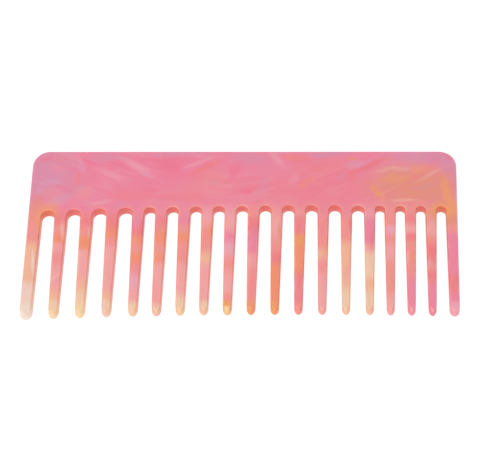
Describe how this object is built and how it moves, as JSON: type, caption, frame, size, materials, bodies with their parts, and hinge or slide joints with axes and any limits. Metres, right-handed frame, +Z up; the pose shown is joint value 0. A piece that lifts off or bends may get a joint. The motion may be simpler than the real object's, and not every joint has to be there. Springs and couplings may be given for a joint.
{
  "type": "wide tooth comb",
  "caption": "Flat wide tooth comb cut from one sheet of marbled pink acetate, with a straight back, round slot heads and round tooth tips graded from wide to fine.",
  "frame": {"origin": "middle of the comb's outline, on the surface that the comb lies on", "axes": "+X along the length towards the fine teeth, +Y from the tooth tips to the back, +Z up through the sheet"},
  "size_m": [0.16, 0.0702, 0.005],
  "materials": {
    "marbled_acetate": "polished pearl acetate sheet, pink marbled with coral, amber and pale cream"
  },
  "bodies": {
    "root": {"back": "marbled_acetate", "tooth_01": "marbled_acetate", "tooth_02": "marbled_acetate", "tooth_03": "marbled_acetate", "tooth_04": "marbled_acetate", "tooth_05": "marbled_acetate", "tooth_06": "marbled_acetate", "tooth_07": "marbled_acetate", "tooth_08": "marbled_acetate", "tooth_09": "marbled_acetate", "tooth_10": "marbled_acetate", "tooth_11": "marbled_acetate", "tooth_12": "marbled_acetate", "tooth_13": "marbled_acetate", "tooth_14": "marbled_acetate", "tooth_15": "marbled_acetate", "tooth_16": "marbled_acetate", "tooth_17": "marbled_acetate", "tooth_18": "marbled_acetate", "tooth_19": "marbled_acetate"}
  },
  "joints": []
}
